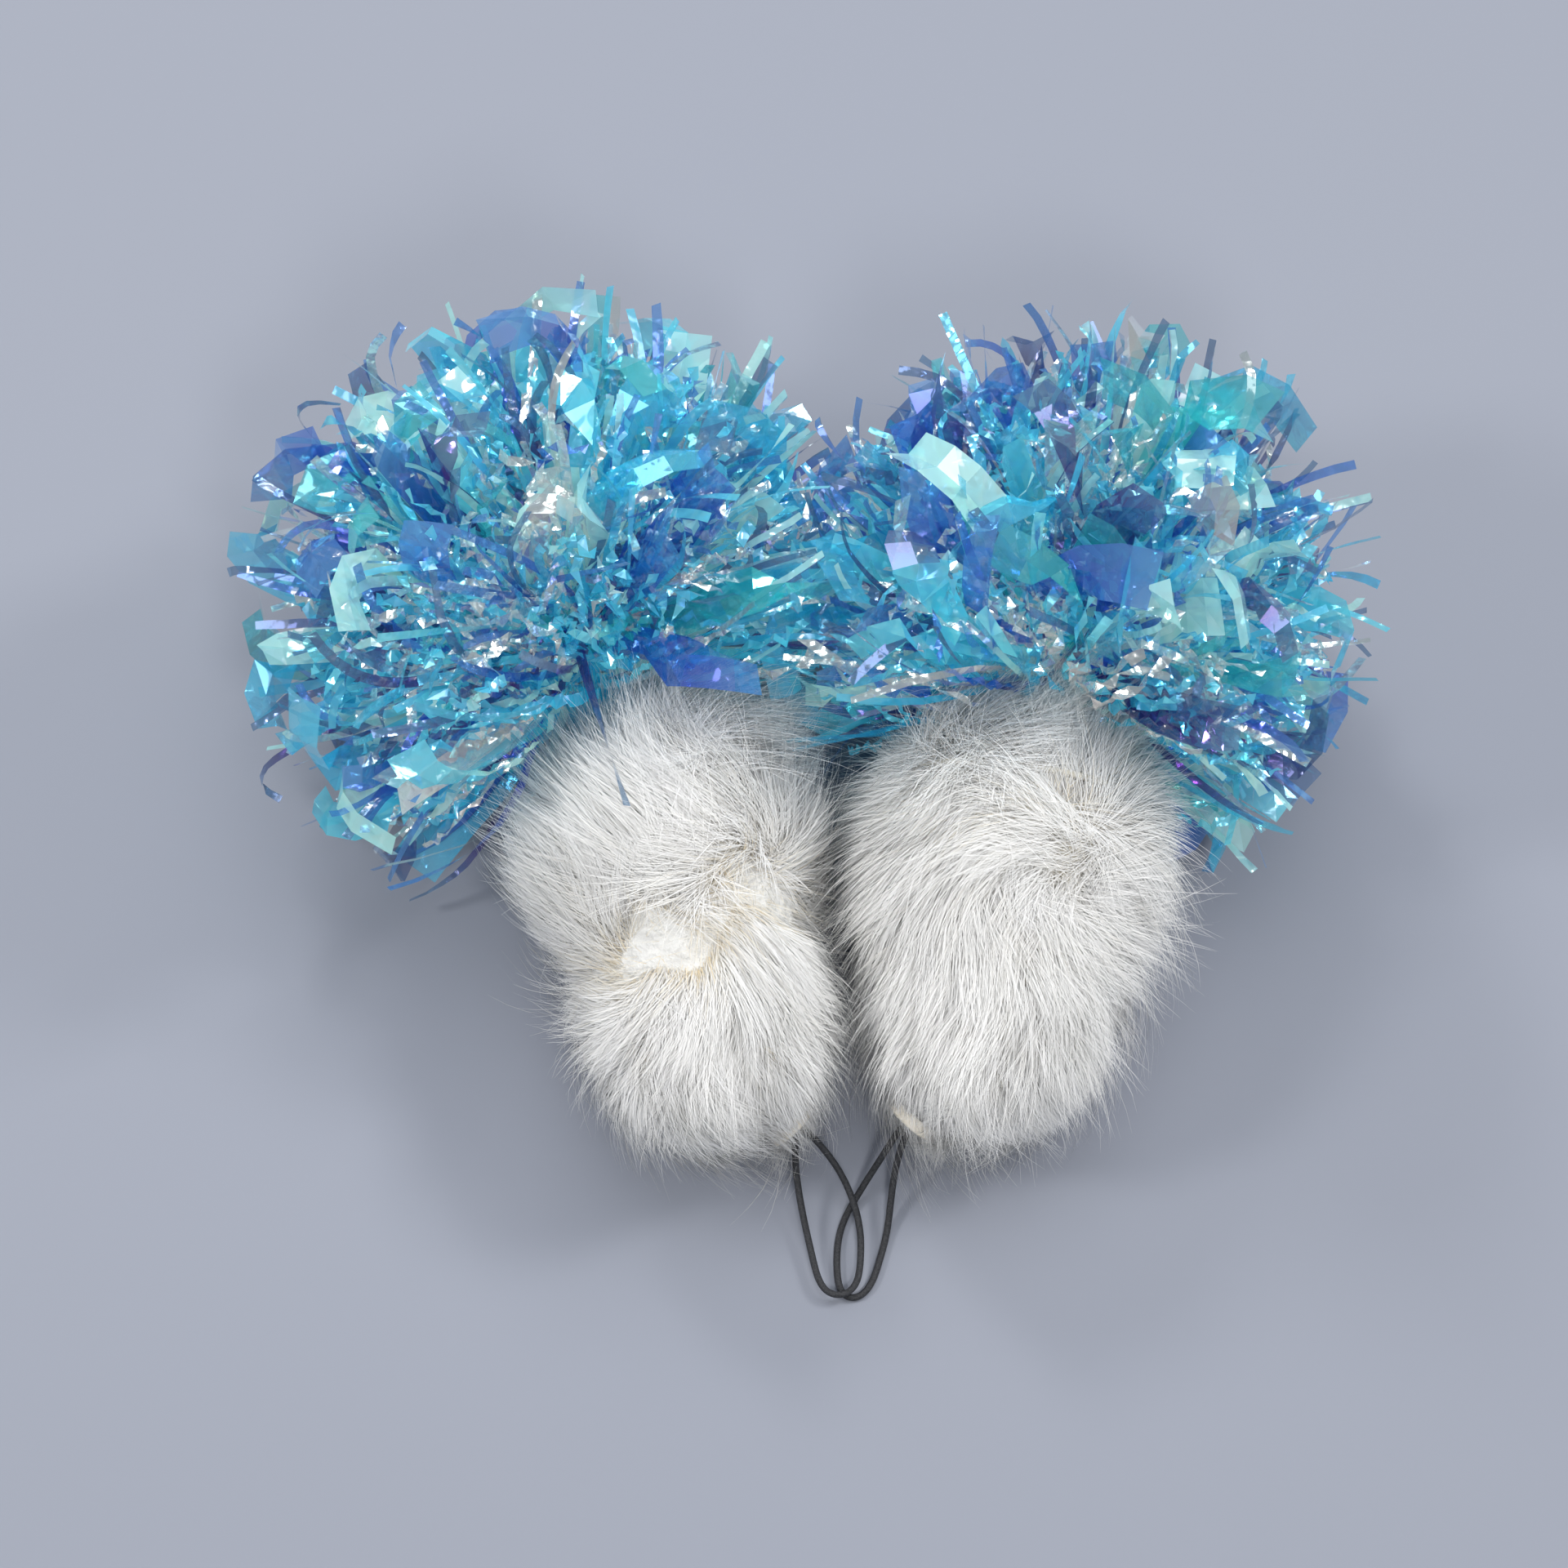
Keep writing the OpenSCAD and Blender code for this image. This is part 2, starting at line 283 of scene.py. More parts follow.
def mesh_piece(name, points, faces, body, finish, corner_map, smooth):
    """A piece from points (n, 3) and quads (m, 4), with a map value for each face corner."""
    mesh = bpy.data.meshes.new(name)
    mesh.vertices.add(len(points))
    mesh.vertices.foreach_set("co", np.asarray(points, np.float32).ravel())
    mesh.loops.add(faces.size)
    mesh.loops.foreach_set("vertex_index", faces.astype(np.int32).ravel())
    mesh.polygons.add(len(faces))
    mesh.polygons.foreach_set("loop_start", np.arange(0, faces.size, 4, dtype=np.int32))
    mesh.update(calc_edges=True)
    mesh.polygons.foreach_set("use_smooth", np.full(len(faces), smooth))
    layer = mesh.uv_layers.new(name="OFBake")
    layer.data.foreach_set("uv", np.asarray(corner_map, np.float32).ravel())
    return add_piece(name, mesh, body, finish)


def ribbon_piece(name, centre, across, half_width, tint, body, finish, smooth=True, facing=None):
    """
    Ribbons from centre lines (n, k, 3), directions across them (n, k, 3) and half widths (n, k).
    tint is 0 to 1 for each ribbon. The map puts the tint along u and the way along it on v.
    facing (n, k, 3), if given, becomes the direction that the light sees the surface turned to.
    """
    n, k, _ = centre.shape
    reach = across * half_width[..., None]
    points = above_floor(np.stack([centre - reach, centre + reach], axis=2), 0.2 * MM)
    step = 2 * k * np.arange(n)[:, None] + 2 * np.arange(k - 1)
    faces = np.stack([step, step + 1, step + 3, step + 2], axis=-1).reshape(-1, 4)
    column = np.minimum((tint * COLUMNS).astype(int), COLUMNS - 1)
    u = (column[:, None] + np.array([0.15, 0.85])) / COLUMNS
    at = np.empty((n, k, 2, 2), np.float32)
    at[..., 0] = u[:, None, :]
    at[..., 1] = np.linspace(0.01, 0.99, k)[None, :, None]
    corners = at.reshape(-1, 2)[faces.ravel()]
    piece = mesh_piece(name, points.reshape(-1, 3), faces, body, finish, corners, smooth)
    if facing is not None:
        normals = np.repeat(facing.reshape(-1, 3), 2, axis=0)
        piece.data.normals_split_custom_set_from_vertices(normals.tolist())
    print(f"{name}: {n} ribbons, {2 * n * (k - 1)} triangles")
    return piece


# %% [markdown]
# ## The floor
# The pair lies on a plain pale sheet. It could be a curved backdrop, but the camera looks down, so
# one flat square that runs past every edge of the view is enough. It isn't part of the object.

# %% Lay the floor
FLOOR_HALF = 4.0  # metres, half of the square's side
floor_finish = Finish("pale_floor", roughness=0.85)
floor_finish.feed("Base Color", rgb(0.265, 0.285, 0.345))
floor_corners = FLOOR_HALF * np.array([[-1, -1, 0], [1, -1, 0], [1, 1, 0], [-1, 1, 0]])
floor_mesh = bpy.data.meshes.new("floor")
floor_mesh.from_pydata(floor_corners.tolist(), [], [(0, 1, 2, 3)])
floor_mesh.materials.append(floor_finish.material)
floor = bpy.data.objects.new("floor", floor_mesh)
bpy.context.scene.collection.objects.link(floor)
print("floor", 2 * FLOOR_HALF, "m square")

# %% [markdown]
# ## The finger loops
# Thin elastic leaves the patch at the foot, droops to the table and comes back beside itself. It
# could hang by simulation, but a short cord that lies still is surer as a route through listed
# points, the same ones that the CAD cords follow. The left loop lies over the right one.

# %% Route the elastic
ELASTIC_D = 1.5 * MM
ROUTES = {
    "left": np.array([
        [-5.5, -89.5, 12.6], [-5.6, -91.5, 11.6], [-5.5, -95, 9], [-5.1, -98.6, 7],
        [-4.4, -102.7, 5.2], [-3.5, -107.2, 4], [-2.5, -111.6, 3.2], [-1.5, -115.8, 2.8],
        [-0.1, -119.7, 2.7], [1.6, -122.4, 2.6], [3.7, -123.4, 2.6], [5.8, -122.6, 2.6],
        [7.5, -120.3, 2.6], [8.5, -117, 2.6], [8.9, -113.2, 2.7], [8.8, -109.5, 3],
        [8.3, -106.2, 3.5], [7.5, -103.2, 4.1], [6.4, -100.4, 5.1], [5, -97.7, 6.5],
        [3.1, -95, 8.3], [0.7, -92.4, 10.3], [-1.8, -90, 12], [-4.3, -88.1, 12.6]]) * MM,
    "right": np.array([
        [19.6, -88.8, 12.6], [18.4, -90.6, 11.8], [17.2, -93.6, 9.3], [16.3, -97.2, 6.5],
        [15.7, -101, 4], [15.2, -105.1, 2], [14.5, -109.3, 1], [13.4, -113.6, 0.8],
        [12, -117.6, 0.8], [10.2, -121, 0.8], [8.3, -123.1, 0.8], [6.4, -123.4, 0.8],
        [4.9, -121.9, 0.8], [4, -118.9, 0.8], [3.6, -115.2, 0.8], [3.8, -111.3, 0.8],
        [4.5, -107.8, 0.8], [5.7, -104.6, 0.9], [7.3, -101.8, 1.5], [9.2, -99, 3],
        [11.3, -96.2, 5.2], [13.6, -93.4, 8], [15.8, -90.6, 10.8], [18, -87.9, 12.6]]) * MM,
}


def smooth_route(points, steps):
    """Runs a curve through the points, each span a cubic whose slopes come from its neighbours."""
    p = np.vstack([2 * points[:1] - points[1:2], points, 2 * points[-1:] - points[-2:-1]])
    t = np.linspace(0, 1, steps, endpoint=False)[None, :, None]
    a, b, c, d = (p[i:len(p) - 3 + i, None] for i in range(4))
    spans = b + 0.5 * t * (c - a + t * (2 * a - 5 * b + 4 * c - d + t * (3 * (b - c) + d - a)))
    return np.vstack([spans.reshape(-1, 3), points[-1:]])


def relaxed(path, passes=8):
    """
    Eases a path's tight turns. In each pass an inner point becomes half of itself and a quarter of
    each neighbour.
    """
    for _ in range(passes):
        path[1:-1] = 0.25 * path[:-2] + 0.5 * path[1:-1] + 0.25 * path[2:]
    return path


def opened(path, gain=0.25, reach=10 * MM):
    """
    Rounds the end of a loop, so the elastic isn't creased there: the distance across from the loop's
    furthest point grows by the gain, times the square of how near the end a point is.
    """
    end = path[path[:, 1].argmin()]
    near = np.clip(1 - (path[:, 1] - end[1]) / reach, 0, 1) ** 2
    across = gain * near * (path[:, 0] - end[0])
    return path + across[:, None] * np.array([1, 0, 0])


# %% Carry a ring along a route
def tube_piece(name, grid, body, finish):
    """
    A closed skin over rings of points (rings, spokes, 3): a quad between each two neighbours on two
    rings, and one flat face to close each end. The rings run along the skin, turning right-handed.
    """
    rings, spokes, _ = grid.shape
    i, k = np.meshgrid(np.arange(rings - 1), np.arange(spokes), indexing="ij")
    j = (k + 1) % spokes
    quads = np.stack([i * spokes + k, i * spokes + j, (i + 1) * spokes + j, (i + 1) * spokes + k], -1)
    first, last = np.arange(spokes)[::-1], np.arange(spokes) + (rings - 1) * spokes
    faces = quads.reshape(-1, 4).tolist() + [first.tolist(), last.tolist()]
    mesh = bpy.data.meshes.new(name)
    mesh.from_pydata(grid.reshape(-1, 3).tolist(), [], faces)
    mesh.polygons.foreach_set("use_smooth", np.full(len(faces), True))
    return add_piece(name, mesh, body, finish)


def rings_round(path, radius, sides=12):
    """Circles of points round each point of a path, square to it, each begun from a level side."""
    along = unit(np.gradient(path, axis=0))
    side = unit(np.cross([0, 0, 1], along))
    up = np.cross(along, side)
    angle = np.linspace(0, 2 * np.pi, sides, endpoint=False)[:, None]
    return path[:, None] + radius * (np.cos(angle) * side[:, None] + np.sin(angle) * up[:, None])


# %% Make the loops
elastic_finish = Finish("elastic", roughness=0.75)
spot = elastic_finish.here()
cover = elastic_finish.noise(spot, 2600, 3)
thread_colours = [(0.3, (0.010, 0.011, 0.014)), (0.75, (0.05, 0.052, 0.06))]
elastic_finish.feed("Base Color", elastic_finish.ramp(cover, thread_colours))
elastic_finish.bump(elastic_finish.noise(spot, 1900, 1), 0.00012)

for side in SIDES:
    path = opened(relaxed(smooth_route(ROUTES[side], 5)))
    rings = rings_round(path, ELASTIC_D / 2)
    loop = tube_piece(f"{side}_elastic_loop", rings, f"{side}_loop", elastic_finish)
    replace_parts(loop, f"{side}_finger_loop")

# %% [markdown]
# ## The pelts
# Under the hair is a skin, sewn to a tube and stuffed. Cloth simulation could swell it, but all of
# it is under hair and the hairs need to know where it is. So the skin is the sleeve's outline, set
# in by the depth of the hair and carried round the axis, and one shape function serves both.

# %% Shape of a sleeve
def outline(s, inset):
    """
    The sleeve's outline: a ball at the foot, a ball at the crown, and the straight line that touches
    both. s runs from 0 at the foot's pole to 1 at the crown's pole by length. Returns the distance
    from the axis, the place along it from the foot's centre, and the two parts of the normal.
    """
    span = np.linalg.norm(CROWN["left"] - FOOT["left"])
    lean = np.arcsin((CROWN_R - FOOT_R) / span)
    foot_r, crown_r = FOOT_R - inset, CROWN_R - inset
    foot_run, line_run = foot_r * (np.pi / 2 - lean), span * np.cos(lean)
    crown_run = crown_r * (np.pi / 2 + lean)
    run = s * (foot_run + line_run + crown_run)
    on_foot = np.clip(run / foot_run, 0, 1)
    on_line = np.clip((run - foot_run) / line_run, 0, 1)
    on_crown = np.clip((run - foot_run - line_run) / crown_run, 0, 1)
    angle = -np.pi / 2 + on_foot * (np.pi / 2 - lean) + on_crown * (np.pi / 2 + lean)
    r = foot_r + on_line * (crown_r - foot_r)
    return r * np.cos(angle), on_line * span + r * np.sin(angle), np.cos(angle), np.sin(angle)


def swell(side, s, turn):
    """
    How far the sleeve bulges or dips from its outline, in metres: two slow waves make lumps, a
    quicker one makes tufts near the foot, and a narrow dip follows the parting, deepest on top.
    """
    lumps = 1.2 * np.sin(3 * turn + 5 * s + (1 if side == "left" else 2.5))
    lumps = lumps + 0.9 * np.sin(5 * turn - 9 * s)
    tufts = (2.4 if side == "left" else 0.6) * np.sin(8 * turn + 4 * s) * np.exp(-((s - 0.24) / 0.15) ** 2)
    dip = -7 * np.exp(-((s - parting(side, turn)) / 0.05) ** 2) * (1 if side == "left" else 0.25)
    return (lumps + tufts + dip * (0.35 + 0.65 * np.clip(np.sin(turn), 0, 1))) * MM


def parting(side, turn):
    """Where the hair parts, as a share of the sleeve's length: a wavy line across the top."""
    if side == "left":
        return 0.46 + 0.05 * np.sin(2 * turn) + 0.03 * np.sin(7 * turn)
    return 0.70 + 0.05 * np.sin(2 * turn + 1)


def on_sleeve(side, s, turn, inset):
    """Points on the sleeve and the directions that they face. turn is 0 across, a quarter turn up."""
    across, up, along = sleeve_axes(side)
    r, z, out, rise = outline(s, inset)
    round_dir = np.cos(turn)[..., None] * across + np.sin(turn)[..., None] * up
    facing = unit(out[..., None] * round_dir + rise[..., None] * along)
    point = FOOT[side] + r[..., None] * round_dir + z[..., None] * along
    point = point + swell(side, s, turn)[..., None] * facing
    return point, facing


# %% Make the pelts
SKIN_DEPTH = 6 * MM
SKIN_COLOURS = [(0.3, (0.80, 0.74, 0.62)), (0.7, (0.92, 0.89, 0.82))]
pelt_finish = grained_finish("pelt_skin", 700, 3, SKIN_COLOURS, 0.0006, roughness=0.9)


def pelt_piece(side, rings=60, spokes=96, mouth=0.80, wall=1.2 * MM):
    """The skin as a closed shell: outside from foot to mouth, over the rim and back inside."""
    go = np.linspace(0.004, mouth, rings)
    turn = np.linspace(2 * np.pi, 0, spokes, endpoint=False)
    outside = on_sleeve(side, *np.meshgrid(go, turn, indexing="ij"), SKIN_DEPTH)[0]
    inside = on_sleeve(side, *np.meshgrid(go[::-1], turn, indexing="ij"), SKIN_DEPTH + wall)[0]
    grid = above_floor(np.concatenate([outside, inside]), 0.4 * MM)
    return tube_piece(f"{side}_pelt", grid, f"{side}_sleeve", pelt_finish)


for side in SIDES:
    pelt = pelt_piece(side)
    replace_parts(pelt, f"{side}_fur_sleeve")
    print(pelt.name, len(pelt.data.polygons), "faces")

# %% [markdown]
# ## The fur
# Rabbit fur is dense fine underfur with longer guard hairs over it. Blender's hair system could
# grow it, but it would not reach the exported meshes. So each hair is a tapered ribbon that leaves
# the skin steeply and bends over the way it is combed. Neighbours lean to a shared tip, which makes
# locks. The light sees each hair partly as the smooth coat, which keeps it soft.

# %% How the hair lies
def combed(side, s, turn, point, facing, random):
    """The direction that each hair bends to: away from the parting, down the sides, with wander."""
    across, up, along = sleeve_axes(side)
    around = -np.sin(turn)[..., None] * across + np.cos(turn)[..., None] * up
    down_sides = (-np.cos(turn) * np.abs(np.cos(turn)))[..., None] * around
    lengthways = np.tanh((s - parting(side, turn)) * (14 if side == "left" else 6))[..., None] * along
    share = 0.8 if side == "left" else 1.0
    wander = np.stack([np.sin(140 * point[..., 1] + 60 * point[..., 2]), np.sin(120 * point[..., 0] + 1),
                       np.sin(110 * point[..., 0] + 90 * point[..., 1])], -1)
    to_patch = PATCH[side] - point
    near = np.exp(-(to_patch ** 2).sum(-1, keepdims=True) / (15 * MM) ** 2)
    flow = share * lengthways + 1.1 * down_sides + 0.5 * wander + 0.25 * random
    flow = flow + 2.5 * near * unit(to_patch)
    flow = flow - (flow * facing).sum(-1, keepdims=True) * facing
    return unit(flow)


# %% Shares and locks of hair
PATCH = {side: ROUTES[side][0] for side in SIDES}
LOCKS = 700  # locks of hair in each piece of fur


def nearest(points, centres):
    """The index of the nearest centre to each point, in batches."""
    found = [np.argmin(((batch[:, None] - centres) ** 2).sum(-1), axis=1)
             for batch in np.array_split(points, max(1, len(points) // 4000))]
    return np.concatenate(found)


def hair_roots(count, rng):
    """Where hairs start, as s and turn, at random and thinned out where the sleeve is narrow."""
    s = 0.004 + 0.93 * rng.random(count) ** 0.85
    turn = 2 * np.pi * rng.random(count)
    keep = rng.random(count) < outline(s, 0)[0] / CROWN_R + 0.12
    return s[keep], turn[keep]


def growth(side, s, point, on_parting):
    """How long hair is beside its usual length: short on the parting, long at the crown and patch."""
    short = (0.45 if side == "left" else 0.1) * on_parting
    patch = np.exp(-((point - PATCH[side]) ** 2).sum(-1) / (13 * MM) ** 2)
    return (1 - short) * np.interp(s, [0, 0.35, 0.65, 0.9], [0.5, 1, 1, 1.7]) * (1 + 0.9 * patch)


def drawn_together(path, s, mine, lock):
    """Pulls the hairs of each lock to their mean tip, by a share that grows from root to tip."""
    tip = path[:, -1]
    hairs = np.bincount(mine, minlength=LOCKS)[:, None] + 1e-9
    mean_tip = np.stack([np.bincount(mine, tip[:, i], LOCKS) for i in range(3)], -1) / hairs
    t = np.linspace(0, 1, path.shape[1])[None, :, None]
    share = lock * (1 - np.clip((s - 0.25) / 0.6, 0, 1) * 0.55)
    return path + (share[:, None, None] * t ** 1.5) * (mean_tip[mine] - tip)[:, None]


# %% A piece of fur
def fur_piece(name, side, count, length, thickness, seed, steps=5, lock=0.5, lift=1.0, fan=0.3):
    """
    Hairs on a sleeve. Each starts on the skin, rises along the normal and bends over along the
    combed direction: root + length (rise t - bend t^2 along the normal, bend t^2 along the comb).
    Locks pull the tips of a patch towards one tip.
    """
    rng = np.random.default_rng(seed)
    s, turn = hair_roots(count, rng)
    n = len(s)
    point, facing = on_sleeve(side, s, turn, SKIN_DEPTH)
    lock_at = on_sleeve(side, rng.random(LOCKS), 2 * np.pi * rng.random(LOCKS), SKIN_DEPTH)[0]
    mine = nearest(point, lock_at)
    lock_random = rng.normal(size=(LOCKS, 3))
    lock_length = rng.uniform(0.75, 1.2, LOCKS)
    astray = fan * rng.normal(size=(n, 3)) + 1.1 * lock_random[mine]
    comb = combed(side, s, turn, point, facing, astray)
    on_parting = np.exp(-((s - parting(side, turn)) / 0.05) ** 2) * np.clip(np.sin(turn), 0, 1)
    long = length * lock_length[mine] * rng.uniform(0.7, 1.15, n) * growth(side, s, point, on_parting)
    t = np.linspace(0, 1, steps)[None, :, None]
    rise = lift * rng.uniform(0.75, 1.1, n)[:, None, None]
    upward = (rise * t - 0.45 * rise * t ** 2) * facing[:, None]
    combed_over = (0.25 * t + 0.75 * t ** 2) * comb[:, None]
    path = point[:, None] + long[:, None, None] * (upward + combed_over)
    path = above_floor(drawn_together(path, s, mine, lock), 0.3 * MM)

    along = unit(np.gradient(path, axis=1))
    across = unit(np.cross(along, facing[:, None] + 0.7 * rng.normal(size=(n, 1, 3))))
    half_width = thickness / 2 * (1.02 - t[..., 0]) ** 0.6 * rng.uniform(0.7, 1.3, n)[:, None]
    square = facing[:, None] - along * (facing[:, None] * along).sum(-1, keepdims=True)
    seen = unit(facing[:, None] + 0.45 * square)
    outward = np.sign((np.cross(across, along) * facing[:, None]).sum(-1, keepdims=True))
    tint = np.clip(0.6 + 0.15 * lock_random[mine, 0] + 0.15 * rng.normal(size=n), 0.25, 0.999)
    creamy = on_parting * (1.3 if side == "left" else 0.3) > rng.uniform(0.15, 1, n)
    tint = np.where(creamy, 0.1 * rng.random(n), tint)
    piece = ribbon_piece(name, path, across * outward, half_width, tint, f"{side}_sleeve",
                         fur_finish, facing=seen)
    return piece


# %% [markdown]
# ## The colour of the hair
# White rabbit hair is cream at the skin and nearly white at the tip, and here and there, along the
# parting, a lock is cream all the way. One flat white would hide every lock. So each hair has a
# tint, and its colour goes from a root colour to a tip colour on the way up.

# %% Finish the hair and grow it
fur_finish = Finish("rabbit_hair", roughness=0.6, sheen_weight=0.35, sheen_roughness=0.4)
tint_value, way = fur_finish.strand_map()
ROOT_COLOURS = [(0, (0.78, 0.62, 0.37)), (0.12, (0.80, 0.68, 0.48)), (0.3, (0.87, 0.85, 0.81)),
                (1, (0.90, 0.89, 0.87))]
TIP_COLOURS = [(0, (0.89, 0.84, 0.73)), (0.3, (0.92, 0.92, 0.91)), (1, (0.95, 0.95, 0.96))]
root_colour = fur_finish.ramp(tint_value, ROOT_COLOURS)
tip_colour = fur_finish.ramp(tint_value, TIP_COLOURS)
near_skin = 1 - way.step(0.0, 0.7)
fur_finish.feed("Base Color", fur_finish.mix(near_skin, tip_colour, root_colour))

UNDERFUR_SEEDS = {"a": 11, "b": 21, "c": 71}
for number, side in enumerate(SIDES):
    for part, seed in UNDERFUR_SEEDS.items():
        fur_piece(f"{side}_underfur_{part}", side, 25000, 13 * MM, 0.22 * MM, seed + number, lock=0.35)
    fur_piece(f"{side}_guard_hair", side, 9000, 20 * MM, 0.14 * MM, 31 + number, steps=7, lock=0.25,
              lift=1.15, fan=0.7)

# %% [markdown]
# ## The film
# The burst is cut film: aqua where light comes through it, ice white, gold or violet where it
# mirrors. It could be clear refracting sheet, but then light would have to pass hundreds of layers.
# So each strand has one tint, mirrors more or less by its tint, lets a little light past, and has a
# thin film coat that shifts the colour of its gloss. Its ice white tint is partly a painted reflection.

# %% Film finishes
AQUA, SKY, TEAL = (0.02, 0.52, 0.82), (0.10, 0.74, 0.94), (0.02, 0.56, 0.62)
ROYAL, VIOLET = (0.010, 0.09, 0.60), (0.035, 0.012, 0.24)
# The ice white tint is partly the film's own pale colour and partly a painted reflection of the white
# softbox.
ICE_AND_PAINTED_REFLECTION, PEARL = (0.50, 0.86, 0.82), (0.97, 0.91, 0.86)


def film_finish(name, stops, alpha, roughness, wrinkle, depth):
    """
    Tinted film: one tint to each strand, and how much it mirrors goes with the tint. A little glow
    of the same tint stands for the light that comes through from the strands behind. Each strand
    turns paler towards its tip, a painted light on the outside of the burst.
    """
    finish = Finish(name, roughness=roughness, alpha=alpha, ior=2.1, coat_weight=0.9, coat_roughness=0.05,
                    thin_film_thickness=430, thin_film_ior=1.5, emission_strength=0.10)
    tint_value, way = finish.strand_map()
    tints = [(at, colour) for at, colour, mirror in stops]
    mirrors = [(at, (mirror, mirror, mirror)) for at, colour, mirror in stops]
    base = finish.ramp(tint_value, tints, "CONSTANT")
    # Paler towards each strand's tip: painted light on the outside of the burst, with the depths near the
    # root left darker.
    pale = finish.mix(0.3, base, rgb(0.35, 0.85, 1.0))
    tint_with_painted_light = finish.mix(way.step(0.6, 1.0), base, pale)
    finish.feed("Base Color", tint_with_painted_light)
    finish.feed("Emission Color", tint_with_painted_light)
    finish.feed("Metallic", finish.ramp(tint_value, mirrors, "CONSTANT"))
    finish.bump(finish.noise(finish.here(), wrinkle, 1), depth)
    return finish


FINE_STOPS = [(0, AQUA, 0.6), (0.2, SKY, 0.5), (0.38, TEAL, 0.6), (0.5, AQUA, 0.3), (0.64, ROYAL, 0.6),
              (0.73, VIOLET, 0.7), (0.80, ICE_AND_PAINTED_REFLECTION, 0.4), (0.87, PEARL, 0.95)]
WIDE_STOPS = [(0, AQUA, 0.5), (0.16, SKY, 0.3), (0.28, ROYAL, 0.5), (0.50, VIOLET, 0.6), (0.62, ICE_AND_PAINTED_REFLECTION, 0.1),
              (0.80, PEARL, 0.9), (0.86, TEAL, 0.5)]
fine_finish = film_finish("fine_film", FINE_STOPS, 0.8, 0.17, 300, 0.0008)
wide_finish = film_finish("wide_film", WIDE_STOPS, 0.74, 0.07, 160, 0.0006)
print("film finishes:", len(FINE_STOPS), "fine tints,", len(WIDE_STOPS), "wide tints")

# %% [markdown]
# ## Where the film goes
# All the strands are bound at the root, beside the sleeve's crown, and their tips make a ball whose
# centre is further out and higher. Growing them by a particle system would leave strands inside the
# fur. Here the tips are scattered on balls first, and those in the fur's own space are thrown away.

# %% Centres of the bursts
BURST_OUT = {"left": 60, "right": 54}  # from the crown's centre outwards, in millimetres
BURST_UP = 17  # and upwards
ROOT_MIDDLE, BURST, OUT = {}, {}, {}
for side in SIDES:
    low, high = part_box(f"{side}_tinsel_root")
    ROOT_MIDDLE[side] = (np.array(low) + np.array(high)) / 2
    OUT[side] = unit((ROOT_MIDDLE[side] - CROWN[side]) * [1, 1, 0])
    BURST[side] = CROWN[side] + BURST_OUT[side] * MM * OUT[side] + np.array([0, 0, BURST_UP * MM])
    print(side, "root", ROOT_MIDDLE[side].round(4), "burst", BURST[side].round(4))


# %% Where strands run
GATHER = {"left": 0.75, "right": 0.15}  # how far up from the root the strands seem to spring
LEANING = unit(np.array([0, -0.42, 0.91]))  # the fur pushes film away from its crown along this line
FUR_ROOM = {"left": 20, "right": 14}  # how far past the crown the film is pushed, in millimetres
BALL = {"left": 1, "right": 0.94}  # size of each burst beside the left one


def burst_tips(side, count, low, high, rng):
    """
    Tips on balls round the burst's centre, with radii from low to high in millimetres. Tips below
    the table are put just above it and half of them dropped. None is kept in the space of the fur,
    well behind the crown, or well over on the other pom pom's side.
    """
    tries = count * 4
    reach = rng.uniform(low, high, tries) * MM * BALL[side]
    tip = BURST[side] + unit(rng.normal(size=(tries, 3))) * reach[:, None]
    down = tip[:, 2] < 3 * MM
    tip[:, 2] = np.where(down, rng.uniform(1, 6, tries) * MM, tip[:, 2])
    from_crown = tip - CROWN[side]
    height = (from_crown * LEANING).sum(-1, keepdims=True)
    off_line = np.linalg.norm(from_crown - height * LEANING, axis=-1)
    clear = off_line > CROWN_R + rng.normal(FUR_ROOM[side], 3, tries) * MM
    own_side = tip[:, 0] * (-1 if side == "left" else 1) > -9 * MM
    ahead = (from_crown * OUT[side]).sum(-1) > -14 * MM
    return tip[clear & own_side & ahead & (~down | (rng.random(tries) < 0.5))][:count]


def spring(side, tip, rng):
    """Start points in the root's narrow bundle for the strands that reach those tips."""
    n = len(tip)
    share = GATHER[side] * rng.random((n, 1)) ** 0.5
    foot = ROOT_MIDDLE[side] + (BURST[side] - ROOT_MIDDLE[side]) * share
    return foot + rng.normal(size=(n, 3)) * 2.5 * MM


def bezier(a, b, c, d, steps):
    """Curves from a to d that leave a towards b and arrive at d from c."""
    t = np.linspace(0, 1, steps)[None, :, None]
    a, b, c, d = (p[:, None] for p in (a, b, c, d))
    return (1 - t) ** 3 * a + 3 * t * (1 - t) ** 2 * b + 3 * t ** 2 * (1 - t) * c + t ** 3 * d


def square_to(along, rng):
    """Two random directions square to each strand and to each other, carried along it."""
    one = unit(np.cross(along, rng.normal(size=(len(along), 1, 3))))
    return one, np.cross(along, one)


# %% [markdown]
# ## The fine strands
# Most of the burst is narrow film, crinkled along its length, with some straight strands that reach
# further. A smooth curl would read as ribbon. Real crinkled film sparkles because each small flat
# faces its own way, so every step of a strand is moved and turned at random and shaded flat.

